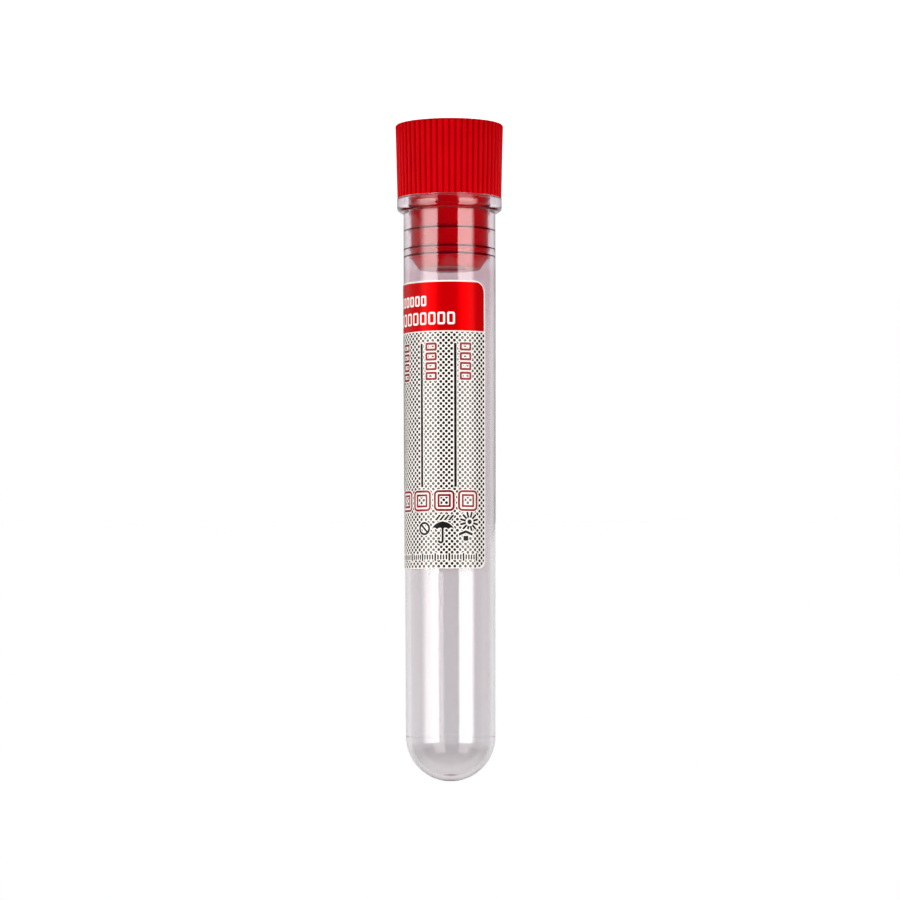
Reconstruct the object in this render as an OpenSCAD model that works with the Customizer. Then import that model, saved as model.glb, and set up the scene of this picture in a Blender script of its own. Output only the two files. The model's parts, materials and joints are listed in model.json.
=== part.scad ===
// Blood collection tube: a clear moulded tube with a round end, closed by a ribbed push-in
// stopper, with a wrap-round label. Millimetres, +Z up. It stands head down, on the open
// face of the stopper's head, and the tube's round end points up.

/* [Tube] */
// Overall length of the tube, from its mouth to its round end
tube_len = 101.1; // [60:0.1:130]
// Outside diameter of the parallel neck
tube_d = 16; // [11:0.5:22]
// Thickness of the wall
tube_wall = 0.85; // [0.6:0.05:1.4]
// How far the parallel neck runs past the plug's end
neck_past_plug = 2.55; // [0.5:0.05:8]
// What the mould's draft takes off the radius between the neck and the round end
body_draft = 0.25; // [0:0.05:0.5]

/* [Flange] */
// How far the flange stands out from the neck
flange_out = 1.12; // [0.6:0.02:2]
// Thickness of the flange, along the tube
flange_t = 2.45; // [1.4:0.05:4]
// Rounding of the flange's edge on the side away from the mouth
flange_round = 0.9; // [0.2:0.05:1]
// Rounding of the flange's edge at the mouth
mouth_round = 0.45; // [0.1:0.05:0.5]
// Fillet between the flange and the neck
flange_fillet = 0.15; // [0.1:0.05:0.4]

/* [Gate mark] */
// Diameter of the dimple that the gate leaves in the round end
gate_d = 2.6; // [1:0.1:5]
// Depth of the dimple
gate_deep = 0.3; // [0.1:0.05:0.5]

/* [Stopper head] */
// Height of the ribbed head
head_h = 12.85; // [8:0.05:20]
// How far the ribs stand out past the flange at the head's open face
head_out = 0.27; // [0:0.01:1]
// What the mould's draft takes off the head's radius over its height
head_draft = 0.33; // [0:0.01:0.6]
// Number of grip ribs
rib_count = 54; // [24:2:54]
// How far a rib stands out of the head
rib_out = 0.3; // [0.15:0.05:0.35]
// Radius of a rib's rounded back
rib_round = 0.45; // [0.4:0.05:0.45]
// Rounding of the ribs' ends at the head's open face
head_round = 0.25; // [0.1:0.05:0.3]
// Rounding of the ribs' ends at the shoulder
shoulder_round = 0.1; // [0.05:0.05:0.3]
// Wall between the ribs and the hollow in the head
head_wall = 1.5; // [1:0.1:2]
// Thickness of the shoulder that sits on the tube's mouth
shoulder_t = 1.6; // [1:0.1:2.5]

/* [Stopper plug] */
// Length of the plug below the shoulder
plug_len = 12.35; // [8:0.05:18]
// Gap between the plug's body and the bore
plug_gap = 0.42; // [0.2:0.02:0.8]
// Wall of the plug
plug_wall = 1.1; // [0.8:0.05:1.6]
// Length of the tapered lead-in at the plug's end
lead_len = 1.9; // [0.8:0.1:3]
// What the lead-in takes off the plug's radius
lead_in = 1.38; // [0.5:0.02:2]
// Thickness of the closed end
plug_end_t = 1.2; // [0.8:0.1:2]
// Diameter of the shallow recess in the closed end
recess_d = 5.4; // [3:0.1:7]
// Depth of that recess
recess_deep = 0.4; // [0.2:0.1:0.6]

/* [Sealing rings] */
// Where the three rings lie, measured back from the start of the lead-in
ring_back = [0.25, 1.55, 4.8];
// Radius of a ring's round section
ring_round = 0.3; // [0.2:0.05:0.4]
// Radial clearance of the rings in the bore
ring_gap = 0.05; // [0.02:0.01:0.1]

/* [Label] */
// Height of the label, along the tube
label_h = 49.5; // [20:0.1:60]
// Distance from the end of the neck to the label
label_gap = 0.1; // [0.1:0.1:5]
// How far the label wraps round the tube, in degrees
label_wrap = 250; // [120:1:330]
// Thickness of the label
label_t = 0.1; // [0.05:0.01:0.2]
// Radius of the corners nearest the stopper
label_corner_top = 2.4; // [0.5:0.1:4]
// Radius of the corners nearest the round end
label_corner_low = 1.5; // [0.5:0.1:4]

/* [Hidden] */
$fn = 180;

// Reach of a cutter past the face that it cuts
slack = 0.5;

// Heights above the surface that the stopper's head stands on
mouth_z = head_h;
plug_end_z = head_h + plug_len;
lead_z = plug_end_z - lead_len;
neck_end_z = plug_end_z + neck_past_plug;
end_z = mouth_z + tube_len;

// Radii of the tube, the centre of its round end, and the rounding that its flange has room for
neck_r = tube_d / 2;
bore_r = neck_r - tube_wall;
dome_r = neck_r - body_draft;
dome_z = end_z - dome_r;
flange_r = neck_r + flange_out;
flange_end_z = mouth_z + flange_t;
flange_edge = min(flange_round, flange_out - flange_fillet);

// Radii of the stopper
head_r = flange_r + head_out;
head_slope = atan(head_draft / head_h);
head_core_r = head_r - rib_out;
head_hollow_r = head_core_r - head_wall;
plug_r = bore_r - plug_gap;
plug_hollow_r = plug_r - plug_wall;
ring_r = bore_r - ring_gap;

// Ends of the label along the tube, and the angle of the edge that faces the front's left
label_z0 = neck_end_z + label_gap;
label_z1 = label_z0 + label_h;
label_from = -139.2;

// Radius of the tube's drafted body at height z
function body_r(z) = neck_r - body_draft * (z - neck_end_z) / (dome_z - neck_end_z);

// What a rounding of radius r takes off a corner; way points from the corner into the material
module corner_cut(corner, way, r)
{
    translate(corner) difference() {
        translate([way.x > 0 ? -slack : -r, way.y > 0 ? -slack : -r]) square(r + slack);
        translate(way * r) circle(r = r);
    }
}

// Half section of the tube's outside, or of its inside when taken in by the wall
module tube_half(inset)
{
    polygon([
        [0, mouth_z],
        [neck_r - inset, mouth_z],
        [neck_r - inset, neck_end_z],
        [dome_r - inset, dome_z],
        [0, dome_z],
    ]);
    translate([0, dome_z]) intersection() {
        circle(r = dome_r - inset);
        square(dome_r);
    }
}

// Half section of the flange, with its two rounded edges and the fillet to the neck
module flange_half()
{
    difference() {
        translate([0, mouth_z]) square([flange_r, flange_t]);
        corner_cut([flange_r, mouth_z], [-1, 1], mouth_round);
        corner_cut([flange_r, flange_end_z], [-1, -1], flange_edge);
    }
    difference() {
        translate([neck_r - slack, flange_end_z - slack]) square(slack + flange_fillet);
        translate([neck_r + flange_fillet, flange_end_z + flange_fillet]) circle(r = flange_fillet);
    }
}

// The tube: one moulding, with its flange, its drafted wall and the gate's dimple
module tube()
{
    color([0.9, 0.89, 0.91, 0.45]) rotate_extrude() difference() {
        union() {
            tube_half(0);
            flange_half();
        }
        tube_half(tube_wall);
        translate([0, mouth_z - slack]) square([bore_r, 2 * slack]);
        corner_cut([bore_r, mouth_z], [1, 1], mouth_round);
        translate([0, end_z - gate_deep]) square([gate_d / 2, gate_deep + slack]);
    }
}

// One grip rib: a round bar that follows the draft of the head
module rib()
{
    translate([head_r - rib_round, 0, 0]) rotate([0, -head_slope, 0])
        translate([0, 0, -slack]) cylinder(h = head_h + 2 * slack, r = rib_round, $fn = 24);
}

// Envelope of the head, which trims the ribs' ends and rounds the outer edges
module head_envelope()
{
    rotate_extrude() difference() {
        square([head_r + slack, head_h]);
        corner_cut([head_r, 0], [-1, 1], head_round);
        corner_cut([head_r - head_draft, head_h], [-1, -1], shoulder_round);
    }
}

// The ribbed head, solid
module head()
{
    intersection() {
        union() {
            cylinder(h = head_h, r1 = head_core_r, r2 = head_core_r - head_draft);
            for (i = [0 : rib_count - 1]) rotate([0, 0, i * 360 / rib_count]) rib();
        }
        head_envelope();
    }
}

// Half section of the plug, with its lead-in and its sealing rings
module plug_half()
{
    polygon([
        [0, head_h - shoulder_t / 2],
        [plug_r, head_h - shoulder_t / 2],
        [plug_r, lead_z],
        [plug_r - lead_in, plug_end_z],
        [0, plug_end_z],
    ]);
    for (back = ring_back) translate([ring_r - ring_round, lead_z - back]) circle(r = ring_round, $fn = 48);
}

// Half section of the hollow, open at the head's face, that keeps the stopper's walls even
module hollow_half()
{
    polygon([
        [0, -slack],
        [head_hollow_r, -slack],
        [head_hollow_r - head_draft, head_h - shoulder_t],
        [plug_hollow_r, head_h - shoulder_t],
        [plug_hollow_r, lead_z - plug_end_t / 2],
        [plug_hollow_r - lead_in / 2, plug_end_z - plug_end_t],
        [0, plug_end_z - plug_end_t],
    ]);
}

// The stopper: one moulding, ribbed head and hollow plug
module stopper()
{
    color([0.82, 0.02, 0.05]) difference() {
        union() {
            head();
            rotate_extrude() plug_half();
        }
        rotate_extrude() hollow_half();
        translate([0, 0, plug_end_z - recess_deep]) cylinder(h = recess_deep + slack, d = recess_d);
    }
}

// What a rounded corner takes off the label's outline; up is 1 at the label's far end, else -1,
// and side is 1 at the edge where the wrap ends, else -1
module label_corner(side, up, r)
{
    angle = side > 0 ? label_wrap : 0;
    z = up > 0 ? label_z1 : label_z0;
    rotate([0, 0, angle]) translate([neck_r - tube_wall, 0, z]) rotate([90, 0, 90])
        linear_extrude(height = 2 * tube_wall) corner_cut([0, 0], [-side, -up], r);
}

// The label: a self-adhesive sheet laid on the drafted wall, with rounded corners
module label()
{
    color([0.93, 0.92, 0.9]) rotate([0, 0, label_from]) difference() {
        rotate_extrude(angle = label_wrap) polygon([
            [body_r(label_z0), label_z0],
            [body_r(label_z0) + label_t, label_z0],
            [body_r(label_z1) + label_t, label_z1],
            [body_r(label_z1), label_z1],
        ]);
        for (side = [-1, 1]) {
            label_corner(side, -1, label_corner_top);
            label_corner(side, 1, label_corner_low);
        }
    }
}

tube();
stopper();
label();
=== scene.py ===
import json
import math

import bpy
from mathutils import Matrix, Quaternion, Vector

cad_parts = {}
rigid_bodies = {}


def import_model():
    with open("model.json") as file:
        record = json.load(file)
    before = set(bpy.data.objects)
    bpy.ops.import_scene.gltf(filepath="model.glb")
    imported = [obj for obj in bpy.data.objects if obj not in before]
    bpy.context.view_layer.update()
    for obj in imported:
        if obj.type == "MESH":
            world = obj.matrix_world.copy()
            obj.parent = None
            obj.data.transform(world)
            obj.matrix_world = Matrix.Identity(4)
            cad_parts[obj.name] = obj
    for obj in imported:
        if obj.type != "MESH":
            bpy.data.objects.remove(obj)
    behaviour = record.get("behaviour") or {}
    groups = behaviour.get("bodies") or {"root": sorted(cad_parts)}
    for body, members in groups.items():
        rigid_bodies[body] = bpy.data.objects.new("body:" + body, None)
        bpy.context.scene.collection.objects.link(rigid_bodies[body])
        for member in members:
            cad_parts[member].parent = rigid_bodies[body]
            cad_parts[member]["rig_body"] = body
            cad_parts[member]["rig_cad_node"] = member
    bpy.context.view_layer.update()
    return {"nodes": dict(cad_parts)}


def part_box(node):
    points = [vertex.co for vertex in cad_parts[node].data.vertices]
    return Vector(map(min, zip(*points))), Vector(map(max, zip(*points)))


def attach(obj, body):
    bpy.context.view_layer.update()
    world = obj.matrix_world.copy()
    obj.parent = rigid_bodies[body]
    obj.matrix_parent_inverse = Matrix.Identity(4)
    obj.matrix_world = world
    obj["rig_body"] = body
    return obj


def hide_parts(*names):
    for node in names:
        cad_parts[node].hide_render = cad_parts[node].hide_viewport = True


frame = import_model()


# ---------------------------------------------------------------------------------------
# Tube: clear polystyrene, injection moulded in one piece over a polished core, with a
# thick flange round its mouth. The gate leaves a shallow dimple in the round end, and the
# wall behind the parallel neck has a slight draft.
# ---------------------------------------------------------------------------------------

MM = 0.001
tube_low, tube_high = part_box("tube")
mouth_z = tube_low.z
neck_radius = 8.0 * MM
wall = 0.85 * MM
bore_radius = neck_radius - wall
neck_end_z = mouth_z + 14.9 * MM

flange_radius = tube_high.x
flange_end_z = mouth_z + 2.45 * MM
flange_round = 0.9 * MM
flange_fillet = 0.15 * MM
mouth_round = 0.08 * MM

gate_radius = 1.3 * MM
gate_floor_z = tube_high.z - 0.19 * MM
dome_radius = 7.75 * MM
dome_z = tube_high.z - math.sqrt(dome_radius**2 - gate_radius**2)
dome_from = math.degrees(math.acos(gate_radius / dome_radius))


def arc(radius, height, size, start, end, steps):
    """Points of a round stretch about (radius, height), by angles from the outward side."""
    turns = [math.radians(start + n / steps * (end - start)) for n in range(steps + 1)]
    return [(radius + size * math.cos(a), height + size * math.sin(a)) for a in turns]


def draw_outline(name, points):
    """Draws an open half section in the XZ plane, one vertex extruded from point to point."""
    bpy.ops.object.select_all(action="DESELECT")
    bpy.ops.mesh.primitive_plane_add(size=MM)
    piece = bpy.context.object
    piece.name = name
    bpy.ops.object.mode_set(mode="EDIT")
    bpy.ops.mesh.merge(type="CENTER")
    pen = Vector((0, 0, 0))
    for n, (radius, height) in enumerate(points):
        step = Vector((radius, 0, height)) - pen
        if n == 0:
            bpy.ops.transform.translate(value=step)
        else:
            bpy.ops.mesh.extrude_region_move(TRANSFORM_OT_translate={"value": step})
        pen += step
    bpy.ops.object.mode_set(mode="OBJECT")
    return piece


def spin_outline(steps):
    """Turns the half section just drawn into a closed shell about the Z axis."""
    bpy.ops.object.mode_set(mode="EDIT")
    bpy.ops.mesh.select_all(action="SELECT")
    bpy.ops.mesh.spin(steps=steps, angle=math.tau, center=(0, 0, 0), axis=(0, 0, 1))
    bpy.ops.mesh.select_all(action="SELECT")
    bpy.ops.mesh.remove_doubles(threshold=0.002 * MM)
    bpy.ops.mesh.normals_make_consistent(inside=False)
    bpy.ops.object.mode_set(mode="OBJECT")


# The outline runs from the gate round the outside to the mouth, and back along the bore. A fine
# witness line marks where two blocks of the mould meet.
round_end = arc(0, dome_z, dome_radius, dome_from, 0, 40)
witness_line = [(dome_radius - 0.02 * MM, dome_z - 0.06 * MM), (dome_radius, dome_z - 0.12 * MM)]
fillet = arc(neck_radius + flange_fillet, flange_end_z + flange_fillet, flange_fillet, 180, 270, 4)
flange_edge = arc(
    flange_radius - flange_round, flange_end_z - flange_round, flange_round, 90, 0, 10
)
mouth_outside = arc(flange_radius - mouth_round, mouth_z + mouth_round, mouth_round, 0, -90, 5)
mouth_inside = arc(bore_radius + mouth_round, mouth_z + mouth_round, mouth_round, 270, 180, 5)
round_core = arc(0, dome_z, dome_radius - wall, 0, 90, 40)
tube = draw_outline(
    "clear_tube",
    [(0, gate_floor_z), (gate_radius, gate_floor_z)]
    + round_end
    + witness_line
    + [(neck_radius, neck_end_z)]
    + fillet
    + flange_edge
    + mouth_outside
    + mouth_inside
    + [(bore_radius, neck_end_z)]
    + round_core,
)
spin_outline(256)

# The long flat faces stay true next to the small rounded ones
bpy.ops.object.shade_smooth_by_angle(angle=math.radians(35))
even = tube.modifiers.new("even", "WEIGHTED_NORMAL")
even.weight = 100
even.keep_sharp = True
bpy.ops.object.modifier_apply(modifier="even")


def start_material(name):
    """A new material, with its node tree and its shader."""
    material = bpy.data.materials.new(name)
    material.use_nodes = True
    return material, material.node_tree, material.node_tree.nodes["Principled BSDF"]


def set_inputs(node, values):
    """Sets the inputs of a node that are given by name."""
    for name, value in values.items():
        node.inputs[name].default_value = value


def add_node(tree, kind, values=None):
    """Adds a node of that kind, with some of its inputs set."""
    node = tree.nodes.new("ShaderNode" + kind)
    set_inputs(node, values or {})
    return node


def add_bump(tree, noise, strength, shader):
    """Makes a surface uneven by up to 0.02 mm, as a noise has it."""
    bump = add_node(tree, "Bump", {"Strength": strength, "Distance": 0.02 * MM})
    tree.links.new(noise.outputs["Fac"], bump.inputs["Height"])
    tree.links.new(bump.outputs["Normal"], shader.inputs["Normal"])


# The melt flowed along the tube, which leaves faint streaks that way
styrene, tree, shader = start_material("clear_polystyrene")
set_inputs(shader, {"Transmission Weight": 1, "IOR": 1.59})
place = add_node(tree, "TexCoord")
stretch = add_node(tree, "Mapping", {"Scale": (2000, 2000, 10)})
flow = add_node(tree, "TexNoise", {"Detail": 2})
polish = add_node(tree, "MapRange", {"To Min": 0.01, "To Max": 0.06})
tree.links.new(place.outputs["Object"], stretch.inputs["Vector"])
tree.links.new(stretch.outputs["Vector"], flow.inputs["Vector"])
tree.links.new(flow.outputs["Fac"], polish.inputs["Value"])
tree.links.new(polish.outputs["Result"], shader.inputs["Roughness"])
add_bump(tree, flow, 0.1, shader)

# The wall's own grey-mauve tint changes a little with height, and painted light is laid into it.
# Near the stopper there is a painted red shade cast by the stopper. Where the round end begins
# there is a painted dark band, and the wall gets paler again towards the tip. Each tint is given
# with its height above the bench, in millimetres.
tint_span = 120
tints_with_painted_shade = [
    (24.5, (0.830, 0.735, 0.775)),
    (26.0, (0.755, 0.630, 0.675)),
    (38.0, (0.830, 0.770, 0.790)),
    (75.0, (0.775, 0.743, 0.760)),
    (106.5, (0.785, 0.765, 0.778)),
    (108.7, (0.735, 0.715, 0.725)),
    (110.3, (0.800, 0.780, 0.790)),
    (111.5, (0.860, 0.840, 0.850)),
    (113.5, (0.880, 0.850, 0.865)),
]
split = add_node(tree, "SeparateXYZ")
level = add_node(tree, "MapRange", {"From Max": tint_span * MM})
tint = add_node(tree, "ValToRGB")
for n, (height, colour) in enumerate(tints_with_painted_shade):
    stop = tint.color_ramp.elements[n] if n < 2 else tint.color_ramp.elements.new(1)
    stop.position = height / tint_span
    stop.color = (*colour, 1)
tree.links.new(place.outputs["Object"], split.inputs["Vector"])
tree.links.new(split.outputs["Z"], level.inputs["Value"])
tree.links.new(level.outputs["Result"], tint.inputs["Fac"])

# The middle of the gate's dimple is coloured a dark red, which fades out towards the dimple's rim
flat = add_node(tree, "VectorMath")
flat.operation = "MULTIPLY"
flat.inputs[1].default_value = (1, 1, 0)
away = add_node(tree, "VectorMath")
away.operation = "LENGTH"
mark = add_node(tree, "MapRange", {"From Min": 0.9 * MM, "From Max": gate_radius})
gate_dark_spot = add_node(tree, "Mix")
gate_dark_spot.data_type = "RGBA"
gate_dark_spot.inputs["A"].default_value = (0.26, 0.09, 0.14, 1)
tree.links.new(place.outputs["Object"], flat.inputs[0])
tree.links.new(flat.outputs["Vector"], away.inputs[0])
tree.links.new(away.outputs["Value"], mark.inputs["Value"])
tree.links.new(mark.outputs["Result"], gate_dark_spot.inputs["Factor"])
tree.links.new(tint.outputs["Color"], gate_dark_spot.inputs["B"])
tree.links.new(gate_dark_spot.outputs["Result"], shader.inputs["Base Color"])

depth = add_node(tree, "VolumeAbsorption", {"Color": (0.62, 0.56, 0.6, 1), "Density": 90})
tree.links.new(depth.outputs["Volume"], tree.nodes["Material Output"].inputs["Volume"])
tube.data.materials.append(styrene)

# Clear plastic lets the lamps through to what is inside it and on it
tube.visible_shadow = False

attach(tube, "tube_body")
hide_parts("tube")


# ---------------------------------------------------------------------------------------
# Label: a self-adhesive sheet of white film with rounded corners, printed and varnished
# flat, then wrapped round the drafted wall. Its print is generic: a red head with rows of
# boxes, columns to write in, a halftone ground, handling signs and a fine rule.
# ---------------------------------------------------------------------------------------

label_low, label_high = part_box("label")
label_h = label_high.z - label_low.z
label_mid_z = (label_low.z + label_high.z) / 2
label_thick = 0.08 * MM
adhesive = 0.02 * MM
wrap = math.radians(250)
near_edge = math.radians(-139.2)
label_w = wrap * (neck_radius + label_thick)
stopper_end_corner = 2.4 * MM
round_end_corner = 1.5 * MM


def select_where(piece, test):
    """Opens a piece for editing, with the vertices selected whose place passes a test."""
    bpy.ops.object.mode_set(mode="EDIT")
    bpy.ops.mesh.select_all(action="DESELECT")
    bpy.ops.object.mode_set(mode="OBJECT")
    for vertex in piece.data.vertices:
        vertex.select = test(vertex.co)
    bpy.ops.object.mode_set(mode="EDIT")


bpy.ops.object.select_all(action="DESELECT")
bpy.ops.mesh.primitive_plane_add(size=1, rotation=(math.pi / 2, 0, 0))
label = bpy.context.object
label.name = "printed_label"
label.scale = (label_w, label_h, 1)
bpy.ops.object.transform_apply(location=False, rotation=True, scale=True)
for end, corner in ((-1, stopper_end_corner), (1, round_end_corner)):
    select_where(label, lambda co: abs(co.z - end * label_h / 2) < 0.01 * MM)
    bpy.ops.mesh.bevel(offset=corner, segments=10, affect="VERTICES")
    bpy.ops.object.mode_set(mode="OBJECT")
bpy.ops.object.mode_set(mode="EDIT")
strips = 125
for strip in range(1, strips):
    cut = ((strip / strips - 0.5) * label_w, 0, 0)
    bpy.ops.mesh.select_all(action="SELECT")
    bpy.ops.mesh.bisect(plane_co=cut, plane_no=(1, 0, 0))
bpy.ops.object.mode_set(mode="OBJECT")

bend = label.modifiers.new("wrap", "SIMPLE_DEFORM")
bend.deform_method = "BEND"
bend.deform_axis = "Z"
bend.angle = wrap
bpy.ops.object.modifier_apply(modifier="wrap")
bpy.ops.object.mode_set(mode="EDIT")
bpy.ops.mesh.select_all(action="SELECT")
bpy.ops.transform.translate(value=(0, -label_w / wrap, label_mid_z))
bpy.ops.object.mode_set(mode="OBJECT")
label.rotation_euler.z = near_edge + wrap / 2 + math.pi / 2
bpy.ops.object.transform_apply(location=False, rotation=True, scale=False)

seat = label.modifiers.new("seat", "SHRINKWRAP")
seat.target = tube
seat.wrap_mode = "ABOVE_SURFACE"
seat.offset = adhesive
bpy.ops.object.modifier_apply(modifier="seat")
sheet = label.modifiers.new("sheet", "SOLIDIFY")
sheet.thickness = label_thick
sheet.offset = 1
bpy.ops.object.modifier_apply(modifier="sheet")
bpy.ops.object.shade_smooth_by_angle(angle=math.radians(35))

film, tree, shader = start_material("printed_label_film")


def math_node(tree, operation, *terms):
    """Adds a math node and gives its output. Each term is a number or another's output."""
    node = add_node(tree, "Math")
    node.operation = operation
    for slot, term in zip(node.inputs, terms):
        if isinstance(term, bpy.types.NodeSocket):
            tree.links.new(term, slot)
        else:
            slot.default_value = term
    return node.outputs[0]


class Field:
    """A number that varies over the print, in millimetres, worked out by math nodes."""

    def __init__(self, socket):
        self.socket = socket

    def __add__(self, other):
        return math_field("ADD", self, other)

    def __sub__(self, other):
        return math_field("SUBTRACT", self, other)

    def __rsub__(self, other):
        return math_field("SUBTRACT", other, self)

    def __mul__(self, other):
        return math_field("MULTIPLY", self, other)

    def __abs__(self):
        return math_field("ABSOLUTE", self)


def math_field(operation, *terms):
    """The same for fields of the print."""
    terms = [term.socket if isinstance(term, Field) else term for term in terms]
    return Field(math_node(film.node_tree, operation, *terms))


def union(*shapes):
    """What lies in any of the shapes."""
    shape = shapes[0]
    for other in shapes[1:]:
        shape = math_field("MINIMUM", shape, other)
    return shape


def overlap(*shapes):
    """What lies in all of the shapes."""
    shape = shapes[0]
    for other in shapes[1:]:
        shape = math_field("MAXIMUM", shape, other)
    return shape


def length(x, y):
    return math_field("SQRT", x * x + y * y)


def disc(x, y, radius):
    """The distance to a disc, below nought inside it, as in every shape of the print."""
    return length(x, y) - radius


def block(x, y, half_x, half_y, corner=0.0):
    """The distance to a rectangle with rounded corners."""
    over_x = abs(x) - (half_x - corner)
    over_y = abs(y) - (half_y - corner)
    outside = length(overlap(over_x, 0), overlap(over_y, 0))
    inside = math_field("MINIMUM", overlap(over_x, over_y), 0)
    return outside + inside - corner


def outline(shape, stroke):
    """A line of that width just inside a shape's edge."""
    return abs(shape + stroke / 2) - stroke / 2


def repeat(x, first, pitch, count):
    """The distance from the middle of the nearest of count places in a row."""
    number = math_field("FLOOR", (x - first) * (1 / pitch))
    number = math_field("MINIMUM", overlap(number, 0), count - 1)
    return x - first - (number + 0.5) * pitch


def turned(x, y, degrees):
    """The same place in axes turned by an angle."""
    c, s = math.cos(math.radians(degrees)), math.sin(math.radians(degrees))
    return x * c + y * s, y * c - x * s


# The print is laid out in millimetres on the flat sheet, across it and along it from the
# corner that the red head starts at
own_map = add_node(tree, "TexCoord")
split = add_node(tree, "SeparateXYZ")
tree.links.new(own_map.outputs["UV"], split.inputs["Vector"])
width, height = label_w / MM, label_h / MM
across = Field(split.outputs["X"]) * width
along = Field(split.outputs["Y"]) * height

# The head, with two rows of white boxes
margin_x, margin_y = 0.33, 0.27
printable = block(
    across - width / 2, along - height / 2, width / 2 - margin_x, height / 2 - margin_y, 1.8
)
head = overlap(printable, along - 8.7)
upper_row = block(repeat(across, 11.0, 1.38, 10), along - 3.5, 0.54, 0.9, 0.3)
lower_row = block(repeat(across, 5.85, 1.7, 14), along - 6.55, 0.66, 1.08, 0.35)
head_boxes = outline(union(upper_row, lower_row), 0.33)

# Four columns to write in, each with a line and four small boxes
column = repeat(across, 1.08, 6.13, 4)
rules = block(column - 1.85, along - 23.2, 0.23, 12.35)
marks = outline(block(column, repeat(along, 10.6, 1.68, 4), 1.08, 0.72, 0.3), 0.4)

# A row of boxes to tick, each with a double line
box_x = repeat(across, 1.6, 4.25, 7)
tick_box = block(box_x, along - 37.9, 1.85, 1.8, 0.8)
tick_boxes = union(outline(tick_box, 0.38), outline(tick_box + 0.68, 0.36))

# Handling signs: the sun over a roof, an umbrella in rain, and a crossed ring
sun_x, sun_y = 3.46 - across, along - 41.54
roof_x, roof_y = 4.15 - across, along - 43.2
roof = block(abs(roof_x) * 0.4 - roof_y, roof_x, 0.24, 1.3)
store = block(roof_x, along - 44.35, 0.46, 0.42)
sector = repeat(math_field("ARCTAN2", sun_y, sun_x), -math.pi, math.tau / 12, 12)
from_sun = length(sun_x, sun_y)
ray_x = from_sun * math_field("COSINE", sector)
ray_y = from_sun * math_field("SINE", sector)
rays = overlap(block(ray_x - 1.25, ray_y, 0.52, 0.19), 0.3 - roof)
sun = union(disc(sun_x, sun_y, 0.42), rays)
shade_x = 8.25 - across
canopy = overlap(disc(shade_x, along - 43.7, 2.2), along - 42.75)
scallops = disc(repeat(shade_x, -2.0, 1.0, 4), along - 43.05, 0.5)
stick = block(shade_x, along - 43.1, 0.2, 1.65)
crook = overlap(abs(disc(shade_x + 0.36, along - 44.7, 0.36)) - 0.19, 44.7 - along)
rain_x = shade_x + (along - 40.9) * 0.8
rain = block(repeat(rain_x, -1.3, 0.78, 4), along - 40.8, 0.21, 0.48)
umbrella = union(overlap(canopy, 0 - scallops), stick, crook, rain)
ring_x, ring_y = 11.7 - across, along - 42.65
bar_y = turned(ring_x, ring_y, 45)[1]
ring = disc(ring_x, ring_y, 1.15)
crossed_ring = union(outline(ring, 0.38), overlap(ring, abs(bar_y) - 0.18))

# The fine rule near the far edge
tick = block(repeat(across, 1.85, 0.5, 62), along - 47.55, 0.14, 0.42)
long_tick = block(repeat(across, 0.85, 2.5, 13), along - 47.55, 0.16, 0.66)

# The halftone ground, which keeps clear of what is printed over it
black_print = union(rules, roof, store, sun, umbrella, crossed_ring, tick, long_tick)
red_print = union(marks, tick_boxes)
dot_x, dot_y = turned(across, along, 45)
pitch, dot_radius = 0.668, 0.258
dots = disc(
    repeat(dot_x, -30 * pitch, pitch, 150), repeat(dot_y, -60 * pitch, pitch, 150), dot_radius
)
ground = overlap(dots, 8.9 - along, printable - 0.12, 0.14 - union(black_print, red_print))


def paint(under, colour, shape):
    """Lays ink of one colour over what is under it, inside a shape."""
    edge = add_node(film.node_tree, "MapRange", {"From Min": 0.02, "From Max": -0.02})
    ink = add_node(film.node_tree, "Mix")
    ink.data_type = "RGBA"
    ink.inputs["B"].default_value = (*colour, 1)
    film.node_tree.links.new(shape.socket, edge.inputs["Value"])
    film.node_tree.links.new(edge.outputs["Result"], ink.inputs["Factor"])
    film.node_tree.links.new(under, ink.inputs["A"])
    return ink.outputs["Result"]


def object_noise(tree, place, scale, detail):
    """A noise that is fixed to the piece."""
    noise = add_node(tree, "TexNoise", {"Scale": scale, "Detail": detail})
    tree.links.new(place.outputs["Object"], noise.inputs["Vector"])
    return noise


def two_tone(tree, noise, dark, pale):
    """A colour that a noise moves between two tones."""
    ramp = add_node(tree, "ValToRGB")
    ramp.color_ramp.elements[0].color = (*dark, 1)
    ramp.color_ramp.elements[1].color = (*pale, 1)
    tree.links.new(noise.outputs["Fac"], ramp.inputs["Fac"])
    return ramp


mottle = object_noise(tree, own_map, 350, 4)
printed = two_tone(tree, mottle, (0.59, 0.57, 0.545), (0.64, 0.623, 0.60)).outputs["Color"]
printed = paint(printed, (0.006, 0.005, 0.005), ground)
printed = paint(printed, (0.37, 0.0, 0.001), head)
printed = paint(printed, (0.66, 0.64, 0.62), head_boxes)
printed = paint(printed, (0.16, 0.0, 0.006), red_print)
printed = paint(printed, (0.008, 0.007, 0.007), black_print)
tree.links.new(printed, shader.inputs["Base Color"])

# Each ink has a gloss of its own under the varnish
bare_gloss = add_node(tree, "RGB")
bare_gloss.outputs[0].default_value = (0.25, 0.25, 0.25, 1)
gloss = paint(bare_gloss.outputs[0], (0.5, 0.47, 0.44), ground)
gloss = paint(gloss, (1, 0, 0), head)
gloss = paint(gloss, (0.25, 0.25, 0.25), head_boxes)
gloss = paint(gloss, (0.3, 0.15, 0.15), red_print)
gloss = paint(gloss, (0.05, 0.05, 0.05), black_print)
tree.links.new(gloss, shader.inputs["Specular Tint"])
set_inputs(shader, {"Roughness": 0.25, "IOR": 2.0})
add_bump(tree, mottle, 0.1, shader)
label.data.materials.append(film)
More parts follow.
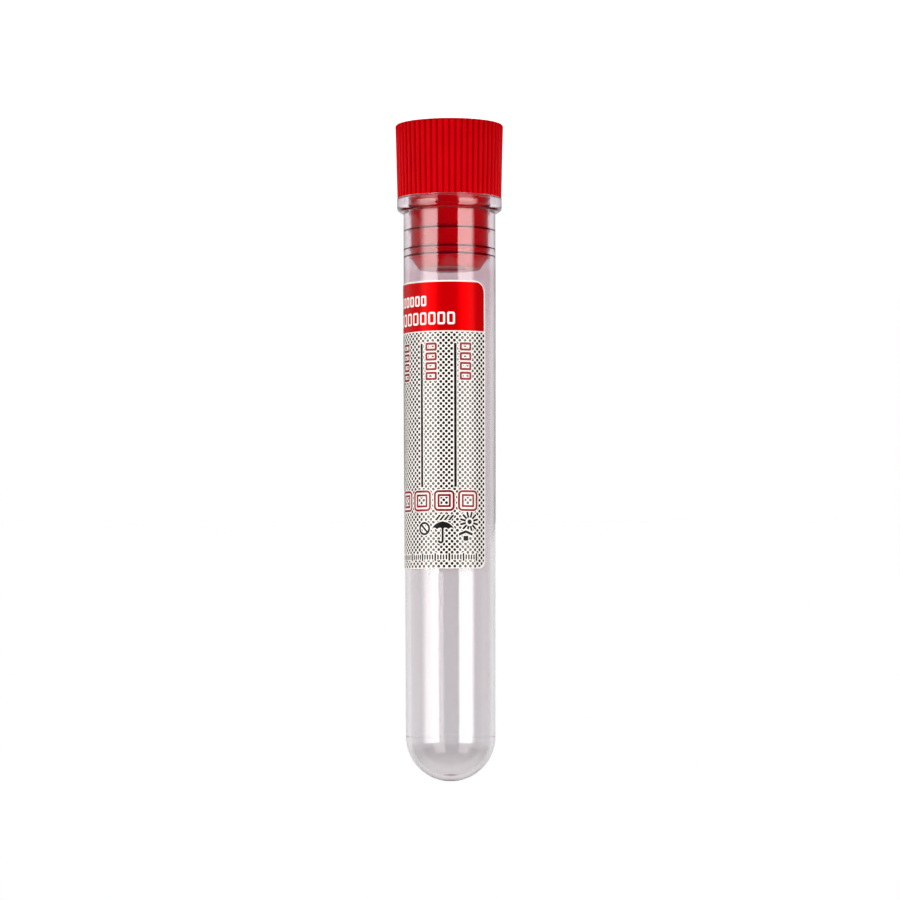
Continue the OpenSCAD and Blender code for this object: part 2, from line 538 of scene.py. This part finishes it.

# The back shows through the clear wall: bare paper under its adhesive. It is coloured paler than
# the front's white, as painted light for what passes through the thin sheet into the tube.
backing, tree, shader = start_material("label_back")
fibre = object_noise(tree, add_node(tree, "TexCoord"), 900, 4)
tone = two_tone(tree, fibre, (0.74, 0.73, 0.71), (0.84, 0.83, 0.81))
tree.links.new(tone.outputs["Color"], shader.inputs["Base Color"])
set_inputs(shader, {"Roughness": 0.5})
label.data.materials.append(backing)
for face in label.data.polygons:
    outward = face.center.xy.normalized()
    if face.normal.xy.dot(outward) < -0.5:
        face.material_index = 1

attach(label, "tube_body")
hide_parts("label")


# ---------------------------------------------------------------------------------------
# Stopper: one hollow moulding in soft low-density polyethylene, coloured through. Its ribbed
# head is dull, and its plug is shinier. It is pushed into the mouth and held by three sealing
# rings, which are pressed flat against the bore.
# ---------------------------------------------------------------------------------------

head_h = 12.85 * MM
head_draft = 0.33 * MM
valley_radius = 9.1 * MM
rib_radius = 9.32 * MM
ring_radius = 7.1 * MM
ring_reach = 0.15 * MM
pressed_radius = bore_radius + 0.02 * MM
contact_radius = bore_radius - 0.07 * MM
plug_z = mouth_z + 0.01 * MM
lowest_ring_z = mouth_z + 2 * MM

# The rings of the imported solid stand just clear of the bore, so a copy of it is pressed out
bpy.ops.object.select_all(action="DESELECT")
moulding = frame["nodes"]["stopper"]
moulding.select_set(True)
bpy.context.view_layer.objects.active = moulding
bpy.ops.object.duplicate()
stopper = bpy.context.object
stopper.name = "ribbed_stopper"
bpy.ops.object.parent_clear(type="CLEAR_KEEP_TRANSFORM")
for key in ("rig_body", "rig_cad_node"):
    del stopper[key]
bpy.ops.object.mode_set(mode="EDIT")
bpy.ops.mesh.select_all(action="SELECT")
bpy.ops.mesh.remove_doubles(threshold=0.001 * MM)
select_where(
    stopper,
    lambda co: co.z > lowest_ring_z and abs(math.hypot(co.x, co.y) - ring_radius) < ring_reach,
)
press = pressed_radius / ring_radius
bpy.ops.transform.resize(value=(press, press, 1), center_override=(0, 0, 0))
bpy.ops.object.mode_set(mode="OBJECT")
bpy.ops.mesh.customdata_custom_splitnormals_clear()
bpy.ops.object.shade_smooth_by_angle(angle=math.radians(18))

ethylene, tree, shader = start_material("red_polyethylene")
set_inputs(shader, {"Roughness": 0.38, "Specular IOR Level": 0.12})
set_inputs(shader, {"Specular Tint": (0.9, 0.0, 0.01, 1), "Subsurface Weight": 0.25})
set_inputs(shader, {"Subsurface Radius": (1.0, 0.05, 0.03), "Subsurface Scale": 0.8 * MM})
place = add_node(tree, "TexCoord")
cloud = object_noise(tree, place, 220, 3)
tone = two_tone(tree, cloud, (0.42, 0.0, 0.002), (0.49, 0.001, 0.004))
tone.name = "tone"
add_bump(tree, object_noise(tree, place, 9000, 2), 0.15, shader)

# Painted shade: the valleys between the ribs are coloured darker, where shade falls in them. The
# head's draft is added back to a point's distance from the axis, so that one pair of radii holds
# for its whole height.
split = add_node(tree, "SeparateXYZ")
tree.links.new(place.outputs["Object"], split.inputs["Vector"])
x_squared = math_node(tree, "MULTIPLY", split.outputs["X"], split.outputs["X"])
y_squared = math_node(tree, "MULTIPLY", split.outputs["Y"], split.outputs["Y"])
from_axis = math_node(tree, "SQRT", math_node(tree, "ADD", x_squared, y_squared))
draft = math_node(tree, "MULTIPLY", split.outputs["Z"], head_draft / head_h)
valley_shade = add_node(tree, "MapRange", {"From Min": valley_radius, "From Max": rib_radius})
set_inputs(valley_shade, {"To Min": 0.68, "To Max": 1})
tree.links.new(math_node(tree, "ADD", from_axis, draft), valley_shade.inputs["Value"])
shade = add_node(tree, "VectorMath")
shade.operation = "SCALE"
tree.links.new(tone.outputs["Color"], shade.inputs[0])
tree.links.new(valley_shade.outputs["Result"], shade.inputs["Scale"])
tree.links.new(shade.outputs["Vector"], shader.inputs["Base Color"])

plug_skin = ethylene.copy()
plug_skin.name = "plug_polyethylene"
set_inputs(plug_skin.node_tree.nodes["Principled BSDF"], {"Specular IOR Level": 0.57})

# Painted shade: where a ring is pressed to the bore, its faces take a dull, dark red copy of the
# plastic, which draws the rings' dark lines
ring_line_shade = ethylene.copy()
ring_line_shade.name = "ring_line_painted_shade"
shader = ring_line_shade.node_tree.nodes["Principled BSDF"]
set_inputs(shader, {"Roughness": 0.9, "Specular IOR Level": 0, "Subsurface Weight": 0})
dark_tone = ring_line_shade.node_tree.nodes["tone"].color_ramp
dark_tone.elements[0].color = (0.124, 0.0, 0.005, 1)
dark_tone.elements[1].color = (0.14, 0.0, 0.006, 1)

stopper.data.materials.clear()
for finish in (ethylene, plug_skin, ring_line_shade):
    stopper.data.materials.append(finish)
for face in stopper.data.polygons:
    if face.center.z > plug_z:
        face.material_index = 1
    # Ring faces against the bore take the painted shade
    if face.center.z > lowest_ring_z:
        corners = [stopper.data.vertices[v].co for v in face.vertices]
        if min(math.hypot(co.x, co.y) for co in corners) > contact_radius:
            face.material_index = 2

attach(stopper, "stopper_body")
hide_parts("stopper")


# ---------------------------------------------------------------------------------------
# Floor and surroundings: a white paper sweep in a dim room. In front of the tube lie two dark
# sheets that only gloss or only clear plastic shows. They are painted dark reflections, one black
# and one dark red, which draw its dark lines.
# ---------------------------------------------------------------------------------------

room_light = 0.25


def seen_straight(tree, *rays):
    """1 for what the eye sees by rays of those kinds alone, and 0 for light on its way to a
    surface."""
    path = add_node(tree, "LightPath")
    seen = path.outputs[rays[0]]
    for ray in rays[1:]:
        seen = math_node(tree, "MAXIMUM", seen, path.outputs[ray])
    first = math_node(tree, "LESS_THAN", path.outputs["Diffuse Depth"], 0.5)
    return math_node(tree, "MULTIPLY", seen, first)


def ease(tree, value, start, end, low, high):
    """A smooth change from low to high as a value goes from start to end."""
    step = add_node(tree, "MapRange", {"From Min": start, "From Max": end})
    set_inputs(step, {"To Min": low, "To Max": high})
    step.interpolation_type = "SMOOTHSTEP"
    tree.links.new(value, step.inputs["Value"])
    return step.outputs["Result"]


# The backdrop is white to the eye, also through the tube. Gloss shows it bright at the level
# of the bench and behind the tube, and dark above and in front.
world = bpy.data.worlds.new("studio")
world.use_nodes = True
bpy.context.scene.world = world
tree = world.node_tree
backdrop = tree.nodes["Background"]
backdrop.inputs["Color"].default_value = (1, 1, 1, 1)
split = add_node(tree, "SeparateXYZ")
tree.links.new(add_node(tree, "TexCoord").outputs["Generated"], split.inputs["Vector"])
by_height = ease(tree, split.outputs["Z"], 0.15, 0.5, 1, 0.03)
by_depth = ease(tree, split.outputs["Y"], -0.9, 0.6, 0.1, 1)
glow = math_node(tree, "MULTIPLY", by_height, by_depth)
in_gloss = seen_straight(tree, "Is Reflection Ray")
to_eye = seen_straight(tree, "Is Camera Ray", "Is Transmission Ray")
mirrored = math_node(tree, "MULTIPLY", in_gloss, math_node(tree, "SUBTRACT", glow, room_light))
white = math_node(tree, "MULTIPLY", to_eye, 1 - room_light)
strength = math_node(tree, "ADD", math_node(tree, "ADD", mirrored, white), room_light)
tree.links.new(strength, backdrop.inputs["Strength"])

bpy.ops.object.select_all(action="DESELECT")
bpy.ops.mesh.primitive_plane_add(size=4)
floor = bpy.context.object
floor.name = "floor"
paper, tree, shader = start_material("white_paper")
set_inputs(shader, {"Base Color": (0.8, 0.8, 0.8, 1), "Roughness": 0.9})
shader.inputs["Emission Color"].default_value = (1, 1, 1, 1)
to_eye = seen_straight(tree, "Is Camera Ray", "Is Transmission Ray")
lift = math_node(tree, "MULTIPLY", to_eye, 0.8)
tree.links.new(lift, shader.inputs["Emission Strength"])
floor.data.materials.append(paper)


def dark_sheet(name, reach, colour):
    """A dark sheet on half a floor in front of the axis, with its back edge swept back at both
    sides, seen only as a painted dark reflection. The eye and the lamps pass through it."""
    bpy.ops.object.select_all(action="DESELECT")
    bpy.ops.mesh.primitive_grid_add(x_subdivisions=2, y_subdivisions=1, size=1)
    sheet = bpy.context.object
    sheet.name = name
    sheet.scale = (2 * reach, reach, 1)
    sheet.location = (0, -reach / 2, 0.3 * MM)
    bpy.ops.object.transform_apply(location=True, rotation=False, scale=True)
    select_where(sheet, lambda co: abs(co.x) > reach / 2 and co.y > -reach / 2)
    bpy.ops.transform.translate(value=(0, reach / 2, 0))
    bpy.ops.object.mode_set(mode="OBJECT")
    sheet.visible_camera = False
    sheet.visible_diffuse = False
    sheet.visible_shadow = False
    sheet_paint, tree, shader = start_material(name)
    set_inputs(shader, {"Base Color": (*colour, 1), "Roughness": 1, "Specular IOR Level": 0})
    sheet.data.materials.append(sheet_paint)
    return sheet


# Painted dark reflection, seen only in the gloss
black_sheet = dark_sheet("black_sheet", 0.9, (0.01, 0.01, 0.01))
black_sheet.visible_transmission = False
# Painted dark red shade, seen only through the clear plastic
red_sheet = dark_sheet("red_sheet", 0.22, (0.2, 0.005, 0.015))
red_sheet.visible_glossy = False


# ---------------------------------------------------------------------------------------
# Lamps: a tall soft box at each side, close to the tube, whose bands of light run down the
# plastic, and a weak reflector behind the left one.
# ---------------------------------------------------------------------------------------

lamp_h = 0.13
lamp_colour = (1, 0.97, 0.945)


def soft_box(name, angle, width, distance, strength, feather):
    """A tall lamp that faces the tube's axis, at an angle from the front. It falls off towards
    its outer edge, over that share of its width."""
    lamp = bpy.data.lights.new(name, "AREA")
    lamp.shape = "RECTANGLE"
    lamp.size = width
    lamp.size_y = lamp_h
    lamp.energy = strength * math.pi * width * lamp_h
    lamp.color = lamp_colour
    lamp.use_nodes = True
    tree = lamp.node_tree
    split = add_node(tree, "SeparateXYZ")
    tree.links.new(add_node(tree, "TexCoord").outputs["UV"], split.inputs["Vector"])
    edge, full = (1, 1 - feather) if angle > 0 else (0, feather)
    fall = ease(tree, split.outputs["X"], edge, full, 0.1, 1)
    tree.links.new(fall, tree.nodes["Emission"].inputs["Strength"])
    box = bpy.data.objects.new(name, lamp)
    turn = math.radians(angle)
    middle_z = lamp_h / 2 + 0.5 * MM
    box.location = (distance * math.sin(turn), -distance * math.cos(turn), middle_z)
    box.rotation_euler = (math.pi / 2, 0, turn)
    box.visible_camera = False
    bpy.context.scene.collection.objects.link(box)


soft_box("soft_box_right", -42.5, 0.075, 0.095, 4.5, 0.25)
soft_box("soft_box_left", 54, 0.0845, 0.095, 4.6, 0.4)
soft_box("reflector_left", 105, 0.16, 0.13, 0.3, 0.3)


# ---------------------------------------------------------------------------------------
# Camera: just above the middle of the tube, which stands on its stopper. It is rolled half
# round, so the stopper is uppermost.
# ---------------------------------------------------------------------------------------

camera = bpy.data.cameras.new("camera")
camera.lens = 134.8
eye = bpy.data.objects.new("camera", camera)
bpy.context.scene.collection.objects.link(eye)
bpy.context.scene.camera = eye
eye.location = (0, -0.584, 0.0895)
target = Vector((0, 0, 0.05665))
roll = Quaternion((0, 0, 1), math.radians(179.86))
eye.rotation_mode = "QUATERNION"
eye.rotation_quaternion = (target - eye.location).to_track_quat("-Z", "Y") @ roll

bpy.context.scene.view_settings.view_transform = "Standard"
